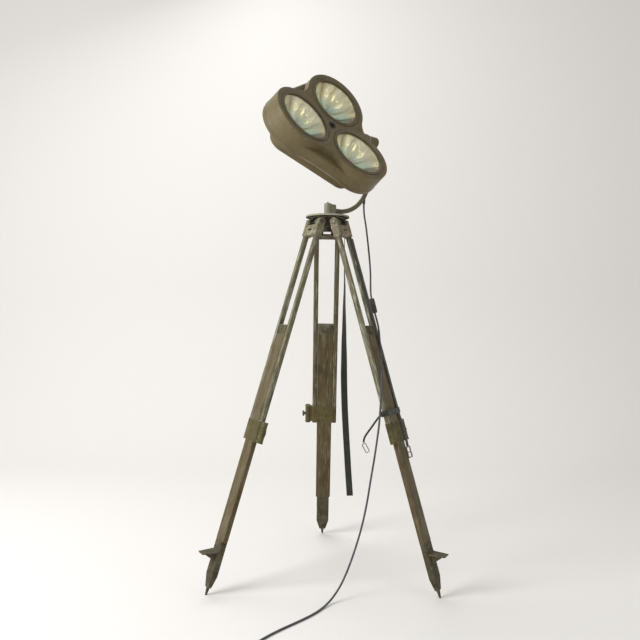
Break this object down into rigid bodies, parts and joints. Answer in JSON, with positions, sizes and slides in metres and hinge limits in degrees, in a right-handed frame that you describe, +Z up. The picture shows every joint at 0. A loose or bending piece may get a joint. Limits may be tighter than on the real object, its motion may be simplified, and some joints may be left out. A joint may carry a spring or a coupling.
{
  "type": "surgical floor lamp",
  "caption": "Three-lamp examination head on a bent tilting arm, swivelling on a folding field tripod with sliding legs, webbing straps and a mains cord with switch and plug.",
  "frame": {"origin": "on the floor, below the middle of the lamp's overall box without the free cord", "axes": "+Z up, -Y towards the front of the lamp, +X to the right seen from the front; one tripod leg points straight back along +Y"},
  "size_m": [0.8798, 1.2494, 1.9352],
  "materials": {
    "plate_paint": "worn light grey-green paint",
    "casting_paint": "worn olive paint on castings",
    "rail_paint": "worn olive paint on wood",
    "board_paint": "worn brown-olive paint on wood",
    "bare_steel": "dull machined steel",
    "dark_steel": "dark worn steel",
    "arm_paint": "brown-olive paint",
    "head_paint": "smooth olive-brown enamel",
    "lid_paint": "smooth olive-brown enamel",
    "gasket_rubber": "black rubber",
    "rim_metal": "warm brown-grey enamel",
    "lens_glass": "clear domed glass",
    "reflector_mirror": "polished reflector",
    "bulb_glass": "frosted bulb glass",
    "holder_ceramic": "glazed lamp holder",
    "socket_black": "black moulding",
    "webbing": "dark green-black webbing",
    "cord_sheath": "dark grey sheath",
    "switch_plastic": "dark grey moulding",
    "plug_plastic": "dark grey moulding"
  },
  "bodies": {
    "tripod_head": {"top_plate": "plate_paint", "hub_spider": "casting_paint", "swivel_spindle": "bare_steel", "hinge_pins": "dark_steel", "strap_keeper": "dark_steel", "hanging_strap": "webbing", "power_cord": "cord_sheath", "cord_coil": "cord_sheath", "mains_plug": "plug_plastic", "switch_body": "switch_plastic"},
    "switch_rocker": {"switch_rocker": "switch_plastic"},
    "fixing_screw": {"fixing_screw": "dark_steel"},
    "leg_1": {"leg_head_1": "casting_paint", "leg_rails_1": "rail_paint", "collar_1": "casting_paint"},
    "clamp_screw_1": {"clamp_screw_1": "dark_steel"},
    "lower_leg_1": {"lower_leg_1": "board_paint", "slide_cap_1": "dark_steel", "shoe_1": "casting_paint"},
    "leg_2": {"leg_head_2": "casting_paint", "leg_rails_2": "rail_paint", "collar_2": "casting_paint"},
    "clamp_screw_2": {"clamp_screw_2": "dark_steel"},
    "lower_leg_2": {"lower_leg_2": "board_paint", "slide_cap_2": "dark_steel", "shoe_2": "casting_paint"},
    "leg_3": {"leg_head_3": "casting_paint", "leg_rails_3": "rail_paint", "collar_3": "casting_paint", "carry_strap": "webbing", "tie_strap": "webbing", "strap_buckle": "bare_steel", "strap_hook": "bare_steel"},
    "clamp_screw_3": {"clamp_screw_3": "dark_steel"},
    "lower_leg_3": {"lower_leg_3": "board_paint", "slide_cap_3": "dark_steel", "shoe_3": "casting_paint"},
    "arm": {"arm_sleeve": "casting_paint", "arm_tube": "arm_paint", "tilt_knuckle": "head_paint", "cord_gland": "socket_black"},
    "tilt_friction_knob": {"tilt_friction_knob": "socket_black"},
    "head": {"front_housing": "head_paint", "housing_gasket": "gasket_rubber", "rear_shell": "head_paint", "rear_lid": "lid_paint", "lid_screws": "bare_steel", "trunnion": "bare_steel", "centre_socket": "socket_black", "retaining_ring_1": "rim_metal", "lens_glass_1": "lens_glass", "reflector_1": "reflector_mirror", "retaining_ring_2": "rim_metal", "lens_glass_2": "lens_glass", "reflector_2": "reflector_mirror", "retaining_ring_3": "rim_metal", "lens_glass_3": "lens_glass", "reflector_3": "reflector_mirror", "bulbs": "bulb_glass", "lamp_holders": "holder_ceramic"}
  },
  "joints": [
    {"name": "leg_fold_1", "type": "hinge", "parent": "tripod_head", "child": "leg_1", "pos_m": [0, -0.06202, 1.336], "axis": [-1, 0, 0], "range_deg": [0, 12]},
    {"name": "leg_slide_1", "type": "slide", "parent": "leg_1", "child": "lower_leg_1", "axis": [0, -0.3009, 0.9537], "range_m": [-0.32, 0.29]},
    {"name": "clamp_turn_1", "type": "hinge", "parent": "leg_1", "child": "clamp_screw_1", "pos_m": [-0.06, 0.18063, 0.56687], "axis": [-1, 0, 0], "range_deg": [-170, 170]},
    {"name": "leg_fold_2", "type": "hinge", "parent": "tripod_head", "child": "leg_2", "pos_m": [-0.04677, -0.14302, 1.336], "axis": [0.5, -0.866, 0], "range_deg": [0, 12]},
    {"name": "leg_slide_2", "type": "slide", "parent": "leg_2", "child": "lower_leg_2", "axis": [0.2606, 0.1504, 0.9537], "range_m": [-0.32, 0.29]},
    {"name": "clamp_turn_2", "type": "hinge", "parent": "leg_2", "child": "clamp_screw_2", "pos_m": [-0.22691, -0.31631, 0.56687], "axis": [0.5, -0.866, 0], "range_deg": [-170, 170]},
    {"name": "leg_fold_3", "type": "hinge", "parent": "tripod_head", "child": "leg_3", "pos_m": [0.04677, -0.14302, 1.336], "axis": [0.5, 0.866, 0], "range_deg": [0, 12]},
    {"name": "leg_slide_3", "type": "slide", "parent": "leg_3", "child": "lower_leg_3", "axis": [-0.2606, 0.1504, 0.9537], "range_m": [-0.32, 0.29]},
    {"name": "clamp_turn_3", "type": "hinge", "parent": "leg_3", "child": "clamp_screw_3", "pos_m": [0.28691, -0.21239, 0.56687], "axis": [0.5, 0.866, 0], "range_deg": [-170, 170]},
    {"name": "fixing_turn", "type": "hinge", "parent": "tripod_head", "child": "fixing_screw", "pos_m": [0, -0.11602, 1.316], "axis": [0, 0, 1], "range_deg": [-170, 170]},
    {"name": "arm_swivel", "type": "hinge", "parent": "tripod_head", "child": "arm", "pos_m": [0, -0.11602, 1.393], "axis": [0, 0, 1], "range_deg": [-170, 170]},
    {"name": "friction_knob_turn", "type": "hinge", "parent": "arm", "child": "tilt_friction_knob", "pos_m": [0.15433, 0.06892, 1.688], "axis": [-0.682, 0.7314, 0], "range_deg": [-170, 170]},
    {"name": "head_tilt", "type": "hinge", "parent": "arm", "child": "head", "pos_m": [0.16821, 0.04084, 1.688], "axis": [0.7314, 0.682, 0], "range_deg": [-29.5, 120.5]},
    {"name": "switch_rock", "type": "hinge", "parent": "tripod_head", "child": "switch_rocker", "pos_m": [0.17857, -0.11893, 1.0256], "axis": [0.9779, 0, 0.2092], "range_deg": [-8, 8]}
  ]
}
